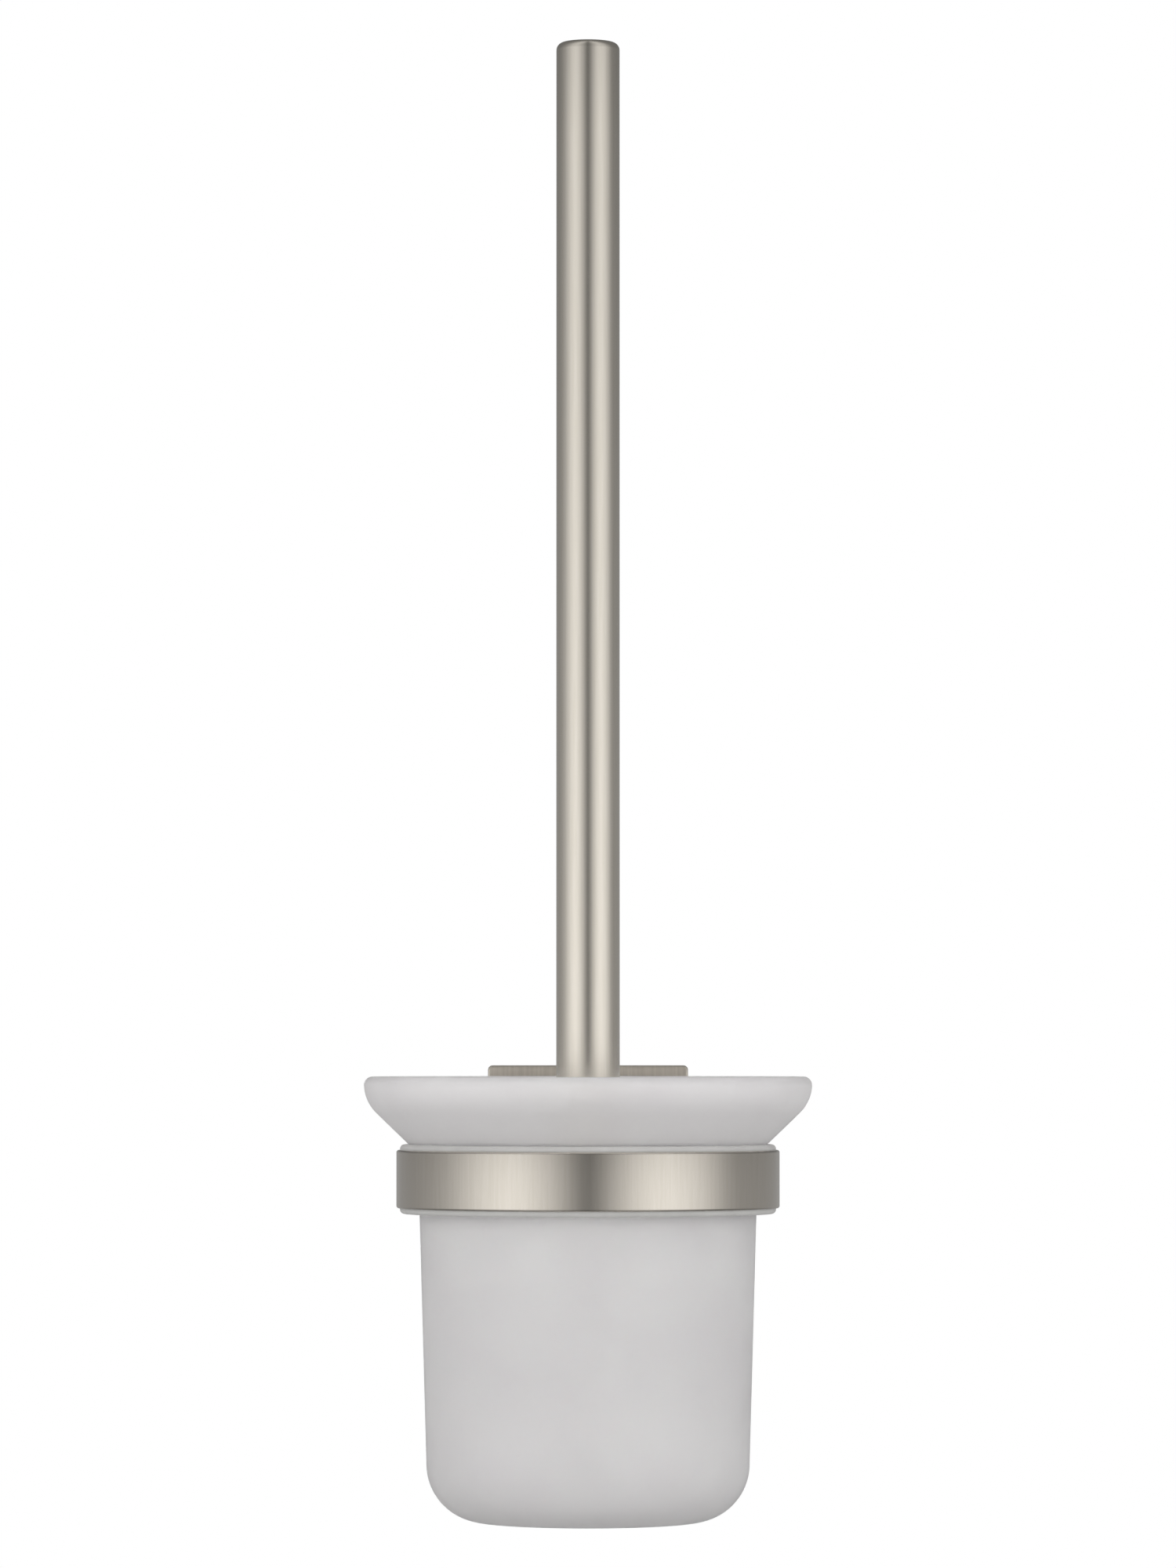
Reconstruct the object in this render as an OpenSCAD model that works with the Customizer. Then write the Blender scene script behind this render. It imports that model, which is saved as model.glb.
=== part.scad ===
// Toilet brush set for the wall: a frosted glass cup hangs in a metal ring on a short arm,
// and a long-handled brush stands in the cup.
//
// Millimetres. The origin is on the wall, midway between the two wall-screw holes. X runs to
// the right along the wall, Y into the wall and Z up. The cup, the ring and the brush share
// one vertical axis in front of the wall, and z = 0 is the ring's mid-height.

/* [Layout] */
// Distance from the wall to the axis of the cup and brush
reach = 68; // [66:1:90]

/* [Wall bracket] */
// Width of the bracket plate
bracket_w = 40; // [38:1:44]
// Height of the bracket plate at its front face
bracket_h = 42; // [38:1:44]
// Thickness of the bracket plate
bracket_t = 4; // [3.5:0.1:4.5]
// Distance between the two wall-screw holes
wall_screw_spacing = 30; // [26:1:30]
// Diameter of a wall-screw hole
wall_screw_hole_d = 5; // [4:0.5:5.5]

/* [Wall rose] */
// Width of the rose that covers the bracket
rose_w = 52; // [50:1:70]
// Height of the rose
rose_h = 57; // [57:1:72]
// Depth of the rose, from the wall to its face
rose_d = 8; // [8:0.5:11]
// Radius of the rose's four corners, seen from the front
rose_corner_r = 1.2; // [1:0.1:5]
// Radius along the front edge of the rose
rose_edge_r = 0.6; // [0.3:0.1:0.9]

/* [Arm and ring] */
// Diameter of the arm between the rose and the ring
arm_d = 12; // [11:0.5:13]
// Outer radius of the ring
ring_r = 48.2; // [48:0.1:49]
// Wall of the ring
ring_wall = 2.6; // [2.4:0.1:2.8]
// Height of the ring
ring_h = 14.6; // [13:0.1:15]
// Height of the sleeve's lip above and below the ring
lip_h = 1.4; // [1.2:0.1:1.6]

/* [Glass cup] */
// Outer radius of the cup at the ring's mid-height
cup_r = 42.6; // [41.5:0.1:42.9]
// Taper of the cup's body, in degrees from the vertical
cup_taper = 1.6; // [1:0.1:2]
// Radius of the flared rim
rim_r = 56.4; // [55.5:0.1:57.5]
// Height of the top of the rim above the ring's mid-height
rim_z = 25.75; // [25.5:0.05:27]
// Overall height of the cup
cup_h = 111.75; // [104:0.25:130]
// Radius of the curve between the shoulder and the rim
flare_r = 10.5; // [9:0.5:12]
// Slope of the shoulder, in degrees from the horizontal
shoulder_angle = 44; // [42:1:48]
// Glass thickness of the body
cup_wall = 3.6; // [3:0.1:4]
// Glass thickness of the shoulder and rim
flare_wall = 4; // [3.6:0.1:4.4]
// Glass thickness of the floor
cup_floor = 6.1; // [5:0.1:7]
// Outer radius of the rounded bottom corner
cup_corner_r = 14.5; // [11:0.5:16]

/* [Brush head] */
// Diameter of the core that holds the bristles
hub_d = 24; // [22:0.5:28]
// Diameter of one bristle tuft
tuft_d = 3; // [2.4:0.1:3.2]
// Number of rows of side tufts
tuft_rows = 5; // [3:1:6]
// Number of side tufts in one row
tufts_per_row = 14; // [8:1:16]
// Gap between the bristle tips and the glass
bristle_gap = 0.8; // [0.5:0.1:4]
// Turn of the brush head about its axis, in degrees
brush_turn = 4; // [0:1:25]

/* [Handle] */
// Diameter of the handle tube
handle_d = 16; // [15:0.5:18]
// Length of the handle tube
handle_l = 287.2; // [240:0.1:340]
// Wall of the handle tube
tube_wall = 1; // [0.8:0.1:1.2]
// Corner radius of the tube's closed top
handle_top_r = 2; // [1.5:0.1:4]

/* [Hidden] */

$fn = 96;

// Small gaps between pieces that are assembled with each other
slip = 0.05;
sleeve_play = 0.5;
shoulder_gap = 0.35;

// Bracket: its top and bottom edges slope back towards the wall, like a dovetail
dovetail = 2;
bracket_corner_r = 2;
wall_screw_head_r = 4.5;
bracket_window_r = 6.5;

// Rose: a tray that is open towards the wall
rose_wall = 2.4;
rose_front = 2.2;
boss_r = 5;
boss_end = 2.3;
hook_w = 30;
hook_back = 0.4;
grub_boss_w = 10;
grub_boss_back = 0.3;

// M4 screws and the arm's dowel
m4_r = 1.95;
m4_thread_r = 2;
m4_clear_r = 2.15;
head_r = 3.7;
head_recess = 0.15;
grub_y = 3.2;
grub_recess = 0.4;
grub_point_r = 0.4;
dowel_r = 1;
dowel_l = 4;
dowel_offset = 4.1;

// Distances from the wall along the arm
ring_back = reach - ring_r;
ring_in_r = ring_r - ring_wall;
head_top = reach - ring_in_r - head_recess;
head_base = head_top - (head_r - m4_r);

// Sleeve
sleeve_in_r = cup_r + sleeve_play;
sleeve_out_r = ring_in_r - 0.1;
lip_r = ring_r - 0.9;
lip_round = 1.1;
sleeve_top = ring_h / 2 + lip_h;

// Glass cup: straight stretches of its outline as lines n . p = d, where n points outwards
rim_drop = 1.7;
rim_round = 2.2;
rim_round_in = 1.6;
neck_r = 1.5;
neck_in_r = 5;
corner_in_r = cup_corner_r - cup_wall;
cup_bottom = rim_z - cup_h;
floor_z = cup_bottom + cup_floor;
// The flare's curve is centred rim_drop below the rim, and meets the rim's at rim_start
rim_start = asin((rim_drop - rim_round) / (flare_r - rim_round));
rim_centre = [rim_r - rim_round, rim_z - rim_round];
flare_centre = rim_centre - (flare_r - rim_round) * [cos(rim_start), sin(rim_start)];
body_n = [cos(cup_taper), -sin(cup_taper)];
body_line = cup_r * cos(cup_taper);
shoulder_n = [sin(shoulder_angle), -cos(shoulder_angle)];
shoulder_line = shoulder_n * flare_centre + flare_r;

// Brush head
washer_t = 1.2;
washer_r = 7.5;
hub_top = -washer_t;
collar_r = hub_d / 2 - 1;
collar_end = -10;
hub_round = 6;
hub_end = cup_bottom + 18.1;
hub_round_z = hub_end + hub_round;
tuft_sunk = 2;
first_row_z = -15.6;
last_row_z = hub_end + 11.5;
row_pitch = (first_row_z - last_row_z) / (tuft_rows - 1);
bristle_r = cup_r + last_row_z * tan(cup_taper) - cup_wall / cos(cup_taper) - bristle_gap;

// M10 stud in a bush in the tube's lower end
stud_r = 4.9;
stud_below = 13.2;
stud_above = 12.5;
socket_r = 4.98;
socket_depth = 16;
bush_l = 14;

brushed_nickel = "#c4bdb2";

// Points of an arc about a centre, from angle a0 to angle a1
function arc(centre, radius, a0, a1, n = 10) =
    [for (i = [0 : n]) centre + radius * [cos(a0 + (a1 - a0) * i / n), sin(a0 + (a1 - a0) * i / n)]];

// Point where the lines n1 . p = d1 and n2 . p = d2 cross
function crossing(n1, d1, n2, d2) =
    [d1 * n2[1] - d2 * n1[1], n1[0] * d2 - n2[0] * d1] / (n1[0] * n2[1] - n1[1] * n2[0]);

// Radius of the shoulder's outer line at a height, moved outwards by a gap
function shoulder_radius(z, gap) = (shoulder_line + gap - shoulder_n[1] * z) / shoulder_n[0];
function shoulder_height(r, gap) = (shoulder_line + gap - shoulder_n[0] * r) / shoulder_n[1];

// Places a shape that is drawn about the origin on the axis of the cup and brush
module on_axis() {
    translate([0, -reach, 0]) children();
}

// Turns a shape drawn upwards from the origin so that it points out of the wall
module out_of_wall() {
    rotate([90, 0, 0]) children();
}

// A body of revolution from a list of [radius, height] points
module turned(points, angle = 360) {
    rotate_extrude(angle = angle) polygon(points);
}

module hex_socket(across_flats, depth) {
    cylinder(r = across_flats / 2 / cos(30), h = depth, $fn = 6);
}

// ---------------------------------------------------------------- wall bracket

module rounded_plate(w, h, r, t) {
    corners = [[1, 1, 0], [-1, 1, 90], [-1, -1, 180], [1, -1, 270]];
    linear_extrude(height = t)
        polygon([for (c = corners)
            each arc([c[0] * (w / 2 - r), c[1] * (h / 2 - r)], r, c[2], c[2] + 90, 6)]);
}

module dovetail_bar() {
    rotate([90, 0, 90])
        linear_extrude(height = bracket_w + 2, center = true)
            polygon([[0, -bracket_h / 2 + dovetail], [-bracket_t, -bracket_h / 2],
                     [-bracket_t, bracket_h / 2], [0, bracket_h / 2 - dovetail]]);
}

// Hole for a countersunk wall screw, opening towards the front
module wall_screw_hole() {
    hole_r = wall_screw_hole_d / 2;
    cone_h = wall_screw_head_r - hole_r;
    translate([0, 0, -1]) cylinder(r = hole_r, h = bracket_t + 2);
    translate([0, 0, bracket_t - cone_h]) cylinder(r1 = hole_r, r2 = wall_screw_head_r + 1, h = cone_h + 1);
}

module wall_bracket() {
    color("#b9bcc0") difference() {
        intersection() {
            dovetail_bar();
            out_of_wall() rounded_plate(bracket_w, bracket_h, bracket_corner_r, bracket_t);
        }
        for (side = [-1, 1])
            translate([side * wall_screw_spacing / 2, 0, 0]) out_of_wall() wall_screw_hole();
        out_of_wall() translate([0, 0, -1]) cylinder(r = bracket_window_r, h = bracket_t + 2);
    }
}

// ---------------------------------------------------------------- wall rose

// Section of the rose's edge, from the inset line outwards, with a rounded front edge
function rose_edge_section() =
    concat([[0, 0], [rose_corner_r, 0]],
           arc([rose_corner_r - rose_edge_r, rose_d - rose_edge_r], rose_edge_r, 0, 90, 6),
           [[0, rose_d]]);

module rose_side(length, distance) {
    translate([distance, 0, 0])
        rotate([90, 0, 0])
            linear_extrude(height = length, center = true) polygon(rose_edge_section());
}

// The rose's outer shape, drawn with its face upwards
module rose_block() {
    inner_w = rose_w - 2 * rose_corner_r;
    inner_h = rose_h - 2 * rose_corner_r;
    translate([-inner_w / 2, -inner_h / 2, 0]) cube([inner_w, inner_h, rose_d]);
    for (turn = [0, 180]) {
        rotate([0, 0, turn]) rose_side(inner_h, inner_w / 2);
        rotate([0, 0, turn + 90]) rose_side(inner_w, inner_h / 2);
        rotate([0, 0, turn]) translate([inner_w / 2, inner_h / 2, 0])
            turned(rose_edge_section(), 90);
        rotate([0, 0, turn]) mirror([1, 0, 0]) translate([inner_w / 2, inner_h / 2, 0])
            turned(rose_edge_section(), 90);
    }
}

// Rib that hooks behind the bracket's sloping top edge
module rose_hook() {
    back = hook_back;
    front = bracket_t - hook_back;
    slope = dovetail / bracket_t;
    edge = bracket_h / 2 - dovetail + 3 * slip;
    top = rose_h / 2 - rose_wall + 0.3;
    rotate([90, 0, 90])
        linear_extrude(height = hook_w, center = true)
            polygon([[-back, edge + slope * back], [-front, edge + slope * front],
                     [-front, top], [-back, top]]);
}

module wall_rose() {
    pocket_w = rose_w - 2 * rose_wall;
    pocket_h = rose_h - 2 * rose_wall;
    pocket_d = rose_d - rose_front;
    grub_boss_top = -bracket_h / 2 - 1.5;
    grub_boss_bottom = -rose_h / 2 + 1;
    color(brushed_nickel) difference() {
        union() {
            difference() {
                out_of_wall() rose_block();
                out_of_wall() translate([-pocket_w / 2, -pocket_h / 2, -1])
                    cube([pocket_w, pocket_h, pocket_d + 1]);
            }
            rose_hook();
            out_of_wall() translate([0, 0, boss_end]) cylinder(r = boss_r, h = rose_d - boss_end - 1);
            translate([-grub_boss_w / 2, -rose_d + 1, grub_boss_bottom])
                cube([grub_boss_w, rose_d - 1 - grub_boss_back, grub_boss_top - grub_boss_bottom]);
        }
        out_of_wall() cylinder(r = m4_thread_r, h = rose_d + 1);
        translate([0, -grub_y, -rose_h / 2 - 1]) cylinder(r = m4_thread_r, h = rose_h / 2);
        translate([0, 0, -dowel_offset]) out_of_wall()
            translate([0, 0, rose_d - dowel_l / 2 + 0.1]) cylinder(r = dowel_r + slip, h = dowel_l);
    }
}

// Set screw in the underside of the rose. Its point presses on the bracket's lower slope.
module rose_grub_screw() {
    tip = -bracket_h / 2 + dovetail * (1 - (grub_y + grub_point_r) / bracket_t) - slip;
    bottom = -rose_h / 2 + grub_recess;
    color("#8f8f8c") translate([0, -grub_y, 0]) difference() {
        turned([[0, bottom], [m4_r - 0.3, bottom], [m4_r, bottom + 0.3],
                [m4_r, tip - 1.6], [grub_point_r, tip], [0, tip]]);
        translate([0, 0, bottom - 1]) hex_socket(2, 3.2);
    }
}

// ---------------------------------------------------------------- arm and ring

module arm() {
    color(brushed_nickel) difference() {
        out_of_wall() translate([0, 0, rose_d]) cylinder(r = arm_d / 2, h = ring_back - rose_d + 2);
        on_axis() cylinder(r = ring_r, h = 4 * arm_d, center = true);
        out_of_wall() cylinder(r = m4_clear_r, h = reach);
        translate([0, 0, -dowel_offset]) out_of_wall()
            cylinder(r = dowel_r + slip, h = rose_d + dowel_l / 2 + 0.2);
    }
}

// Countersunk screw that goes through the ring and the arm into the rose's boss
module arm_screw() {
    tip = boss_end + 0.4;
    color("#8f8f8c") out_of_wall() difference() {
        turned([[0, tip], [m4_r - 0.5, tip], [m4_r, tip + 0.5], [m4_r, head_base],
                [head_r, head_top], [0, head_top]]);
        translate([0, 0, head_top - 1.4]) hex_socket(2.5, 3);
    }
}

// Dowel that stops the arm from turning on the rose
module arm_pin() {
    color("#8f8f8c") translate([0, 0, -dowel_offset]) out_of_wall()
        translate([0, 0, rose_d - dowel_l / 2 + 0.15]) cylinder(r = dowel_r, h = dowel_l);
}

module holder_ring() {
    outer_round = 0.6;
    inner_chamfer = 0.3;
    half = ring_h / 2;
    cone_start = head_base + (m4_clear_r - m4_r) - 0.07;
    cone_h = reach - ring_in_r + 0.5 - cone_start;
    color(brushed_nickel) difference() {
        on_axis() turned(concat(
            [[ring_in_r + inner_chamfer, -half]],
            arc([ring_r - outer_round, -half + outer_round], outer_round, -90, 0, 5),
            arc([ring_r - outer_round, half - outer_round], outer_round, 0, 90, 5),
            [[ring_in_r + inner_chamfer, half], [ring_in_r, half - inner_chamfer],
             [ring_in_r, -half + inner_chamfer]]));
        out_of_wall() translate([0, 0, ring_back - 1]) cylinder(r = m4_clear_r, h = ring_wall + 2);
        out_of_wall() translate([0, 0, cone_start])
            cylinder(r1 = m4_clear_r, r2 = m4_clear_r + cone_h, h = cone_h);
    }
}

// Plastic liner that is snapped into the ring, with a lip over each edge
module ring_sleeve() {
    bottom_round = 0.5;
    corner_z = shoulder_height(sleeve_in_r, shoulder_gap);
    color("#d8d8d4") on_axis() turned(concat(
        [[shoulder_radius(corner_z + neck_r / 2, shoulder_gap), corner_z + neck_r / 2],
         [sleeve_in_r, corner_z - neck_r / 2],
         [sleeve_in_r, -sleeve_top + bottom_round],
         [sleeve_in_r + bottom_round, -sleeve_top]],
        arc([lip_r - lip_round, -sleeve_top + lip_round], lip_round, -90, 0, 8),
        [[lip_r, -ring_h / 2], [sleeve_out_r, -ring_h / 2],
         [sleeve_out_r, ring_h / 2], [lip_r, ring_h / 2]],
        arc([lip_r - lip_round, sleeve_top - lip_round], lip_round, 0, 90, 8),
        [[shoulder_radius(sleeve_top, shoulder_gap), sleeve_top]]));
}

// ---------------------------------------------------------------- glass cup

// Outer outline, from the middle of the bottom up to the top of the rim
function cup_outside() =
    let (corner_z = cup_bottom + cup_corner_r)
    let (corner = crossing(body_n, body_line - cup_corner_r, [0, 1], corner_z))
    let (neck = crossing(body_n, body_line + neck_r, shoulder_n, shoulder_line + neck_r))
    concat([[0, cup_bottom]],
           arc(corner, cup_corner_r, -90, -cup_taper, 16),
           arc(neck, neck_r, 180 - cup_taper, 90 + shoulder_angle, 6),
           arc(flare_centre, flare_r, shoulder_angle - 90, rim_start, 12),
           arc(rim_centre, rim_round, rim_start, 90, 8));

// Inner outline, from the top of the rim down to the middle of the floor
function cup_inside() =
    let (in_r = flare_centre[0] + flare_r - flare_wall)
    let (body_in = body_line - cup_wall)
    let (shoulder_in = shoulder_line - flare_wall)
    let (neck = crossing(body_n, body_in + neck_in_r, shoulder_n, shoulder_in + neck_in_r))
    let (corner = crossing(body_n, body_in - corner_in_r, [0, 1], floor_z + corner_in_r))
    concat(arc([in_r + rim_round_in, rim_z - rim_round_in], rim_round_in, 90, 180, 8),
           arc(flare_centre, flare_r - flare_wall, 0, shoulder_angle - 90, 10),
           arc(neck, neck_in_r, 90 + shoulder_angle, 180 - cup_taper, 8),
           arc(corner, corner_in_r, -cup_taper, -90, 14),
           [[0, floor_z]]);

module glass_cup() {
    color("#dfe2e3", 0.75) on_axis() turned(concat(cup_outside(), cup_inside()));
}

// ---------------------------------------------------------------- brush head

module brush_hub() {
    color("#f2f2ee") on_axis() turned(concat(
        [[0, hub_end]],
        arc([hub_d / 2 - hub_round, hub_round_z], hub_round, -90, 0, 8),
        [[hub_d / 2, collar_end - 1], [collar_r, collar_end],
         [collar_r, hub_top - 1], [collar_r - 1, hub_top],
         [socket_r + 0.6, hub_top], [socket_r, hub_top - 0.6],
         [socket_r, hub_top - socket_depth], [0, hub_top - socket_depth - socket_r * tan(30)]]));
}

// One straight tuft that starts inside the hub and points along +X
module tuft(length) {
    rotate([0, 90, 0]) cylinder(r = tuft_d / 2, h = length, $fn = 24);
}

module side_bristles() {
    root = hub_d / 2 - tuft_sunk;
    color("#f8f8f6") on_axis()
        for (row = [0 : tuft_rows - 1], i = [0 : tufts_per_row - 1])
            rotate([0, 0, brush_turn + (i + (row % 2) / 2) * 360 / tufts_per_row])
                translate([root, 0, first_row_z - row * row_pitch]) tuft(bristle_r - root);
}

// Ring of tufts on the hub's rounded end, all at one angle below the horizontal
module slanted_tufts(count, start, slope) {
    root = hub_round - tuft_sunk;
    drop = hub_round_z - floor_z - bristle_gap - tuft_d / 2 * cos(slope);
    for (i = [0 : count - 1])
        rotate([0, 0, brush_turn + start + i * 360 / count])
            translate([hub_d / 2 - hub_round, 0, hub_round_z])
                rotate([0, slope, 0])
                    translate([root, 0, 0]) tuft(drop / sin(slope) - root);
}

module tip_bristles() {
    root = hub_end + tuft_sunk;
    color("#f8f8f6") on_axis() {
        slanted_tufts(10, 0, 40);
        slanted_tufts(5, 18, 68);
        translate([0, 0, root]) rotate([0, 90, 0]) tuft(root - floor_z - bristle_gap);
    }
}

// ---------------------------------------------------------------- handle

module seal_washer() {
    color("#2b2b2b") on_axis() difference() {
        translate([0, 0, -washer_t]) cylinder(r = washer_r, h = washer_t);
        translate([0, 0, -washer_t - 1]) cylinder(r = stud_r + 0.3, h = washer_t + 2);
    }
}

module handle_tube() {
    outer = handle_d / 2;
    inner = outer - tube_wall;
    inner_round = handle_top_r - tube_wall + 0.2;
    roof = handle_l - tube_wall;
    color(brushed_nickel) on_axis() turned(concat(
        [[inner, 0.2], [inner + 0.2, 0], [outer - 0.3, 0], [outer, 0.3]],
        arc([outer - handle_top_r, handle_l - handle_top_r], handle_top_r, 0, 90, 10),
        [[0, handle_l], [0, roof]],
        arc([inner - inner_round, roof - inner_round], inner_round, 90, 0, 6)));
}

// Threaded bush that is pressed into the tube's lower end
module handle_bush() {
    color("#c9a54b") on_axis() translate([0, 0, 0.3]) difference() {
        cylinder(r = handle_d / 2 - tube_wall - 0.02, h = bush_l);
        translate([0, 0, -1]) cylinder(r = stud_r + slip, h = bush_l + 2);
    }
}

module threaded_stud() {
    chamfer = 0.8;
    color("#9b9b98") on_axis() turned(
        [[0, -stud_below], [stud_r - chamfer, -stud_below], [stud_r, -stud_below + chamfer],
         [stud_r, stud_above - chamfer], [stud_r - chamfer, stud_above], [0, stud_above]]);
}

wall_bracket();
wall_rose();
rose_grub_screw();
arm();
arm_screw();
arm_pin();
holder_ring();
ring_sleeve();
glass_cup();
brush_hub();
side_bristles();
tip_bristles();
seal_washer();
handle_tube();
handle_bush();
threaded_stud();
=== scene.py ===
"""A wall-mounted toilet brush set: frosted glass cup in a satin nickel ring, with its brush.

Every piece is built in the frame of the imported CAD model: metres, +Z up, the wall at y = 0.
Shapes are drawn in millimetres, as (radius, height) outlines about the brush's axis.
"""

import math

import bmesh
import bpy
from mathutils import Matrix, Vector


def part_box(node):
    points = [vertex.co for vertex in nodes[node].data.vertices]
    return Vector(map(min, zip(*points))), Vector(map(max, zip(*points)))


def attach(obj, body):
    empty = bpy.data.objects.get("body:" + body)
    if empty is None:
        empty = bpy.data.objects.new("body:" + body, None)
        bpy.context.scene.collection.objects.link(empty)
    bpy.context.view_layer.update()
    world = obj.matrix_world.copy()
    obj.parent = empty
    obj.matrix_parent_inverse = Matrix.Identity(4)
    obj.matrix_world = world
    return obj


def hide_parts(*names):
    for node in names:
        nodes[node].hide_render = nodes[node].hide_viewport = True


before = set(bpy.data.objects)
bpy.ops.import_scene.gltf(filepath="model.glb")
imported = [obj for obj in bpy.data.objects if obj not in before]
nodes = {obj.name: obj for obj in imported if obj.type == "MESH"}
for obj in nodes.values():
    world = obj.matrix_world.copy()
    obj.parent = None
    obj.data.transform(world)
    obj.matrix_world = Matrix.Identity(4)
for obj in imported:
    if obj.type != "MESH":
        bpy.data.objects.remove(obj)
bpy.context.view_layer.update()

MM = 0.001


# ------------------------------------------------------------------ sizes

# Millimetres and degrees. What the CAD model gives is read from it.

def radius_of(node):
    """Half of a round node's width, in mm."""
    low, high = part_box(node)
    return (high.x - low.x) / 2 / MM


def heights_of(node):
    """Lowest and highest point of a node, in mm."""
    low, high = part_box(node)
    return low.z / MM, high.z / MM


axis_low, axis_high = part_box("handle_tube")
AXIS = Vector(((axis_low.x + axis_high.x) / 2, (axis_low.y + axis_high.y) / 2, 0))

TUBE_R = radius_of("handle_tube")
TUBE_LOW, TUBE_TOP = heights_of("handle_tube")
TUBE_WALL = 1.0
TUBE_TOP_ROUND = 2.0
TUBE_TOP_ROUND_IN = 1.2
TUBE_EDGE_ROUND = 0.3
TUBE_BORE_CHAMFER = 0.2

RING_R = radius_of("holder_ring")
RING_HALF = heights_of("holder_ring")[1]
RING_WALL = 2.6
RING_ROUND = 0.6
RING_CHAMFER = 0.3
SCREW_CLEAR_R = 2.15
SCREW_HEAD_R = 4.5
SCREW_LAND = 0.75

LIP_R = radius_of("ring_sleeve")
LIP_BOTTOM, LIP_TOP = heights_of("ring_sleeve")
LIP_ROUND = 1.1
SLEEVE_FIT = 0.1
SLEEVE_IN_R = 43.1
SLEEVE_OUT_R = RING_R - RING_WALL - SLEEVE_FIT
SLEEVE_BREAK = 0.75
SLEEVE_FOOT_ROUND = 0.5
SHOULDER_GAP = 0.35

RIM_R = radius_of("glass_cup")
CUP_BOTTOM, RIM_TOP = heights_of("glass_cup")
CUP_R = 42.6
CUP_TAPER = 1.6
CUP_WALL = 3.6
CUP_FLOOR = 6.1
CUP_FLOOR_Z = CUP_BOTTOM + CUP_FLOOR
CUP_CORNER_R = 14.5
CUP_IN_CORNER_R = CUP_CORNER_R - CUP_WALL
SHOULDER_ANGLE = 44.0
FLARE_R = 10.5
FLARE_WALL = 4.0
RIM_DROP = 1.7
RIM_ROUND = 2.2
RIM_ROUND_IN = 1.6
NECK_R = 1.5
NECK_IN_R = 5.0

HUB_R = radius_of("brush_hub")
HUB_END, HUB_TOP = heights_of("brush_hub")
HUB_ROUND = 6.0
HUB_NECK_ROUND = 0.8
HUB_NECK_DROP = 1.4
HUB_FLAT = 3.0
COLLAR_R = HUB_R - 1
COLLAR_END = -10.0
COLLAR_ROUND = 0.9
FLUTES = 20
FLUTE_DEPTH = 0.35
FLUTE_REACH = 0.6
SOCKET_R = 4.98
SOCKET_DEPTH = 16.0
SOCKET_CHAMFER = 0.6
DRILL_POINT = 0.58

WASHER_R = radius_of("seal_washer")
WASHER_LOW, WASHER_TOP = heights_of("seal_washer")
WASHER_BORE_R = 5.2
WASHER_ROUND = 0.25

STUD_R = radius_of("threaded_stud")
STUD_LOW, STUD_TOP = heights_of("threaded_stud")
STUD_PITCH = 1.5
THREAD_DEPTH = 0.85
THREAD_CHAMFER = 0.9
THREAD_STEPS = 14

BRISTLE_R = radius_of("side_bristles")
TUFT_ROWS = 5
TUFTS_PER_ROW = 14
FIRST_ROW_Z = -15.6
LAST_ROW_Z = HUB_END + 11.5
BRUSH_TURN = 4.0
TUFT_ROOT_R = 1.25
TUFT_SUNK = 0.5
TUFT_SHORT = 0.2
FLOOR_CLEARANCE = 1.6
# rings of tufts on the rounded end: how many, where the first stands and how steeply they fall
TIP_RINGS = ((10, 0, 40), (5, 18, 68))


# ------------------------------------------------------------------ small tools

MATHS = "ShaderNodeMath"
VECTOR_MATHS = "ShaderNodeVectorMath"
NOISE = "ShaderNodeTexNoise"


def linear(colour):
    """Turns an sRGB hex colour such as "#c4bdb2" into linear RGBA."""
    parts = [int(colour[i:i + 2], 16) / 255 for i in (1, 3, 5)]
    return [c / 12.92 if c <= 0.04045 else ((c + 0.055) / 1.055) ** 2.4 for c in parts] + [1.0]


def add(tree, kind, settings=None, inputs=None):
    """Adds a node. inputs maps a socket's name or number to a value, a socket or a node."""
    node = tree.nodes.new(kind)
    for name, value in (settings or {}).items():
        setattr(node, name, value)
    for name, value in (inputs or {}).items():
        if isinstance(value, bpy.types.Node):
            value = value.outputs[0]
        if isinstance(value, bpy.types.NodeSocket):
            tree.links.new(value, node.inputs[name])
        else:
            node.inputs[name].default_value = value
    return node


def arc(centre, radius, start, end, steps=16):
    """Points of an arc from one angle to another, in degrees."""
    angles = [math.radians(start + (end - start) * i / steps) for i in range(steps + 1)]
    return [(centre[0] + radius * math.cos(a), centre[1] + radius * math.sin(a)) for a in angles]


def crossing(n1, d1, n2, d2):
    """Point where the lines n1 . p = d1 and n2 . p = d2 cross."""
    det = n1[0] * n2[1] - n1[1] * n2[0]
    return ((d1 * n2[1] - d2 * n1[1]) / det, (n1[0] * d2 - n2[0] * d1) / det)


def piece_from(name, mesh):
    """Links a mesh as a new object at the origin."""
    piece = bpy.data.objects.new(name, mesh)
    bpy.context.scene.collection.objects.link(piece)
    return piece


def soften(mesh):
    """Smooth shading, with edges sharper than 35 degrees kept crisp."""
    mesh.polygons.foreach_set("use_smooth", [True] * len(mesh.polygons))
    mesh.set_sharp_from_angle(angle=math.radians(35))


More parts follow.
